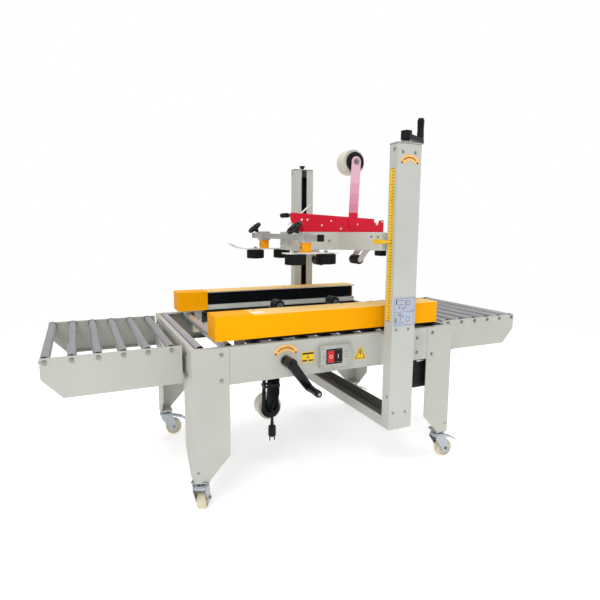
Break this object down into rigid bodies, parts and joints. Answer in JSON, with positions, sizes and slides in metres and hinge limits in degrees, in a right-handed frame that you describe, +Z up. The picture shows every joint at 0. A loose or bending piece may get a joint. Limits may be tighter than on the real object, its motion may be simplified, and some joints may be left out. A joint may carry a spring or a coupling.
{
  "type": "carton sealer",
  "caption": "Wheeled carton sealing machine: roller bed with adjustable side belts, a lower tape head and an upper tape head on a carriage that columns guide",
  "frame": {"origin": "centre of the bounding box's underside, on the floor", "axes": "+X is the carton's travel from infeed to outfeed, +Y points away from the operator, +Z is up"},
  "size_m": [1.777, 0.882, 1.255],
  "materials": {
    "beige_paint": "fine-textured powder coat",
    "yellow_paint": "satin powder coat",
    "red_paint": "satin powder coat",
    "grey_plastic": "moulded",
    "black_plastic": "moulded",
    "red_plastic": "moulded",
    "cream_plastic": "moulded nylon",
    "tape": "wound film tape on a core",
    "belt_rubber": "matt drive belt",
    "black_rubber": "matt",
    "roller_steel": "satin zinc plate",
    "zinc": "bright zinc plate"
  },
  "bodies": {
    "frame": {"main_frame": "beige_paint", "lower_tape_head": "red_paint", "base_beam": "beige_paint", "column_near": "beige_paint", "column_far": "beige_paint", "infeed_table": "beige_paint", "outfeed_table": "beige_paint", "switch_box": "grey_plastic", "cord_hank": "black_rubber", "plug": "black_plastic", "leg_near_left": "beige_paint", "leg_near_right": "beige_paint", "leg_far_left": "beige_paint", "leg_far_right": "beige_paint"},
    "fork_near_left": {"caster_fork_near_left": "zinc"},
    "wheel_near_left": {"caster_wheel_near_left": "cream_plastic"},
    "fork_near_right": {"caster_fork_near_right": "zinc"},
    "wheel_near_right": {"caster_wheel_near_right": "cream_plastic"},
    "fork_far_left": {"caster_fork_far_left": "zinc"},
    "wheel_far_left": {"caster_wheel_far_left": "cream_plastic"},
    "fork_far_right": {"caster_fork_far_right": "zinc"},
    "wheel_far_right": {"caster_wheel_far_right": "cream_plastic"},
    "infeed_roller_1": {"infeed_roller_1": "roller_steel"},
    "infeed_roller_2": {"infeed_roller_2": "roller_steel"},
    "infeed_roller_3": {"infeed_roller_3": "roller_steel"},
    "infeed_roller_4": {"infeed_roller_4": "roller_steel"},
    "infeed_roller_5": {"infeed_roller_5": "roller_steel"},
    "infeed_roller_6": {"infeed_roller_6": "roller_steel"},
    "outfeed_roller_1": {"outfeed_roller_1": "roller_steel"},
    "outfeed_roller_2": {"outfeed_roller_2": "roller_steel"},
    "outfeed_roller_3": {"outfeed_roller_3": "roller_steel"},
    "outfeed_roller_4": {"outfeed_roller_4": "roller_steel"},
    "outfeed_roller_5": {"outfeed_roller_5": "roller_steel"},
    "outfeed_roller_6": {"outfeed_roller_6": "roller_steel"},
    "head": {"head_carriage": "beige_paint", "upper_tape_head": "red_paint"},
    "height_crank": {"height_crank": "black_plastic"},
    "upper_front_arm": {"upper_front_arm": "roller_steel"},
    "upper_rear_arm": {"upper_rear_arm": "roller_steel"},
    "lower_front_arm": {"lower_front_arm": "roller_steel"},
    "lower_rear_arm": {"lower_rear_arm": "roller_steel"},
    "upper_tape_roll": {"upper_tape_roll": "tape"},
    "lower_tape_roll": {"lower_tape_roll": "tape"},
    "belt_unit_near": {"belt_carriage_near": "beige_paint", "belt_cover_near": "yellow_paint", "drive_belt_near": "belt_rubber"},
    "belt_unit_far": {"belt_carriage_far": "beige_paint", "belt_cover_far": "yellow_paint", "drive_belt_far": "belt_rubber"},
    "width_crank": {"width_crank": "black_plastic"},
    "press_bracket_near": {"press_bracket_near": "yellow_paint"},
    "press_wheel_near_1": {"press_wheel_near_1": "black_rubber"},
    "press_wheel_near_2": {"press_wheel_near_2": "black_rubber"},
    "press_knob_near": {"press_knob_near": "black_plastic"},
    "press_bracket_far": {"press_bracket_far": "yellow_paint"},
    "press_wheel_far_1": {"press_wheel_far_1": "black_rubber"},
    "press_wheel_far_2": {"press_wheel_far_2": "black_rubber"},
    "press_knob_far": {"press_knob_far": "black_plastic"},
    "start_button": {"start_button": "black_plastic"},
    "stop_button": {"stop_button": "red_plastic"}
  },
  "joints": [
    {"name": "caster_swivel_near_left", "type": "hinge", "parent": "frame", "child": "fork_near_left", "pos_m": [-0.467, -0.299, 0.097], "axis": [0, 0, 1], "continuous": true},
    {"name": "caster_roll_near_left", "type": "hinge", "parent": "fork_near_left", "child": "wheel_near_left", "pos_m": [-0.45432, -0.27181, 0.033], "axis": [-0.9063, 0.4226, 0], "continuous": true},
    {"name": "caster_swivel_near_right", "type": "hinge", "parent": "frame", "child": "fork_near_right", "pos_m": [0.467, -0.299, 0.097], "axis": [0, 0, 1], "continuous": true},
    {"name": "caster_roll_near_right", "type": "hinge", "parent": "fork_near_right", "child": "wheel_near_right", "pos_m": [0.497, -0.299, 0.033], "axis": [0, 1, 0], "continuous": true},
    {"name": "caster_swivel_far_left", "type": "hinge", "parent": "frame", "child": "fork_far_left", "pos_m": [-0.467, 0.343, 0.097], "axis": [0, 0, 1], "continuous": true},
    {"name": "caster_roll_far_left", "type": "hinge", "parent": "fork_far_left", "child": "wheel_far_left", "pos_m": [-0.437, 0.343, 0.033], "axis": [0, 1, 0], "continuous": true},
    {"name": "caster_swivel_far_right", "type": "hinge", "parent": "frame", "child": "fork_far_right", "pos_m": [0.467, 0.343, 0.097], "axis": [0, 0, 1], "continuous": true},
    {"name": "caster_roll_far_right", "type": "hinge", "parent": "fork_far_right", "child": "wheel_far_right", "pos_m": [0.497, 0.343, 0.033], "axis": [0, 1, 0], "continuous": true},
    {"name": "infeed_roller_1_spin", "type": "hinge", "parent": "frame", "child": "infeed_roller_1", "pos_m": [-0.534, 0.022, 0.52], "axis": [0, 1, 0], "continuous": true},
    {"name": "infeed_roller_2_spin", "type": "hinge", "parent": "frame", "child": "infeed_roller_2", "pos_m": [-0.6022, 0.022, 0.52], "axis": [0, 1, 0], "continuous": true},
    {"name": "infeed_roller_3_spin", "type": "hinge", "parent": "frame", "child": "infeed_roller_3", "pos_m": [-0.6704, 0.022, 0.52], "axis": [0, 1, 0], "continuous": true},
    {"name": "infeed_roller_4_spin", "type": "hinge", "parent": "frame", "child": "infeed_roller_4", "pos_m": [-0.7386, 0.022, 0.52], "axis": [0, 1, 0], "continuous": true},
    {"name": "infeed_roller_5_spin", "type": "hinge", "parent": "frame", "child": "infeed_roller_5", "pos_m": [-0.8068, 0.022, 0.52], "axis": [0, 1, 0], "continuous": true},
    {"name": "infeed_roller_6_spin", "type": "hinge", "parent": "frame", "child": "infeed_roller_6", "pos_m": [-0.875, 0.022, 0.52], "axis": [0, 1, 0], "continuous": true},
    {"name": "outfeed_roller_1_spin", "type": "hinge", "parent": "frame", "child": "outfeed_roller_1", "pos_m": [0.534, 0.022, 0.52], "axis": [0, 1, 0], "continuous": true},
    {"name": "outfeed_roller_2_spin", "type": "hinge", "parent": "frame", "child": "outfeed_roller_2", "pos_m": [0.6022, 0.022, 0.52], "axis": [0, 1, 0], "continuous": true},
    {"name": "outfeed_roller_3_spin", "type": "hinge", "parent": "frame", "child": "outfeed_roller_3", "pos_m": [0.6704, 0.022, 0.52], "axis": [0, 1, 0], "continuous": true},
    {"name": "outfeed_roller_4_spin", "type": "hinge", "parent": "frame", "child": "outfeed_roller_4", "pos_m": [0.7386, 0.022, 0.52], "axis": [0, 1, 0], "continuous": true},
    {"name": "outfeed_roller_5_spin", "type": "hinge", "parent": "frame", "child": "outfeed_roller_5", "pos_m": [0.8068, 0.022, 0.52], "axis": [0, 1, 0], "continuous": true},
    {"name": "outfeed_roller_6_spin", "type": "hinge", "parent": "frame", "child": "outfeed_roller_6", "pos_m": [0.875, 0.022, 0.52], "axis": [0, 1, 0], "continuous": true},
    {"name": "head_lift", "type": "slide", "parent": "frame", "child": "head", "axis": [0, 0, 1], "range_m": [-0.11, 0.19]},
    {"name": "height_crank_turn", "type": "hinge", "parent": "frame", "child": "height_crank", "pos_m": [0.2105, -0.375, 1.162], "axis": [0, 0, 1], "range_deg": [-3960, 6840]},
    {"name": "upper_front_arm_swing", "type": "hinge", "parent": "head", "child": "upper_front_arm", "pos_m": [0.038, 0.022, 0.844], "axis": [0, -1, 0], "range_deg": [0, 30]},
    {"name": "upper_rear_arm_swing", "type": "hinge", "parent": "head", "child": "upper_rear_arm", "pos_m": [0.34, 0.022, 0.844], "axis": [0, 1, 0], "range_deg": [0, 30]},
    {"name": "lower_front_arm_swing", "type": "hinge", "parent": "frame", "child": "lower_front_arm", "pos_m": [-0.138, 0.022, 0.505], "axis": [0, 1, 0], "range_deg": [0, 30]},
    {"name": "lower_rear_arm_swing", "type": "hinge", "parent": "frame", "child": "lower_rear_arm", "pos_m": [0.225, 0.022, 0.505], "axis": [0, -1, 0], "range_deg": [0, 30]},
    {"name": "upper_tape_roll_spin", "type": "hinge", "parent": "head", "child": "upper_tape_roll", "pos_m": [0.238, 0.022, 1.146], "axis": [0, 1, 0], "continuous": true},
    {"name": "lower_tape_roll_spin", "type": "hinge", "parent": "frame", "child": "lower_tape_roll", "pos_m": [-0.122, 0.022, 0.188], "axis": [0, 1, 0], "continuous": true},
    {"name": "belt_width_near", "type": "slide", "parent": "frame", "child": "belt_unit_near", "axis": [0, 1, 0], "range_m": [0, 0.15]},
    {"name": "belt_width_far", "type": "slide", "parent": "frame", "child": "belt_unit_far", "axis": [0, 1, 0], "range_m": [-0.15, 0]},
    {"name": "width_crank_turn", "type": "hinge", "parent": "frame", "child": "width_crank", "pos_m": [-0.19, -0.358, 0.467], "axis": [0, 1, 0], "range_deg": [0, 5400]},
    {"name": "press_slide_near", "type": "slide", "parent": "head", "child": "press_bracket_near", "axis": [0, 1, 0], "range_m": [-0.09, 0.1]},
    {"name": "press_wheel_near_1_spin", "type": "hinge", "parent": "press_bracket_near", "child": "press_wheel_near_1", "pos_m": [-0.095, -0.181, 0.778], "axis": [0, 0, 1], "continuous": true},
    {"name": "press_wheel_near_2_spin", "type": "hinge", "parent": "press_bracket_near", "child": "press_wheel_near_2", "pos_m": [0.025, -0.181, 0.778], "axis": [0, 0, 1], "continuous": true},
    {"name": "press_knob_near_turn", "type": "hinge", "parent": "press_bracket_near", "child": "press_knob_near", "pos_m": [-0.098, -0.181, 0.887], "axis": [-0.6428, 0, 0.766], "range_deg": [-720, 720]},
    {"name": "press_slide_far", "type": "slide", "parent": "head", "child": "press_bracket_far", "axis": [0, 1, 0], "range_m": [-0.1, 0.09]},
    {"name": "press_wheel_far_1_spin", "type": "hinge", "parent": "press_bracket_far", "child": "press_wheel_far_1", "pos_m": [-0.095, 0.225, 0.778], "axis": [0, 0, 1], "continuous": true},
    {"name": "press_wheel_far_2_spin", "type": "hinge", "parent": "press_bracket_far", "child": "press_wheel_far_2", "pos_m": [0.025, 0.225, 0.778], "axis": [0, 0, 1], "continuous": true},
    {"name": "press_knob_far_turn", "type": "hinge", "parent": "press_bracket_far", "child": "press_knob_far", "pos_m": [-0.098, 0.225, 0.887], "axis": [-0.6428, 0, 0.766], "range_deg": [-720, 720]},
    {"name": "start_button_press", "type": "slide", "parent": "frame", "child": "start_button", "axis": [0, 1, 0], "range_m": [0, 0.003], "stiffness_N_per_m": 400},
    {"name": "stop_button_press", "type": "slide", "parent": "frame", "child": "stop_button", "axis": [0, 1, 0], "range_m": [0, 0.003], "stiffness_N_per_m": 400}
  ],
  "couplings": [
    {"joint": "height_crank_turn", "follows": "head_lift", "rad_per_m": 628.32},
    {"joint": "upper_rear_arm_swing", "follows": "upper_front_arm_swing", "ratio": 1},
    {"joint": "lower_rear_arm_swing", "follows": "lower_front_arm_swing", "ratio": 1},
    {"joint": "belt_width_far", "follows": "belt_width_near", "ratio": -1},
    {"joint": "width_crank_turn", "follows": "belt_width_near", "rad_per_m": 628.32}
  ]
}
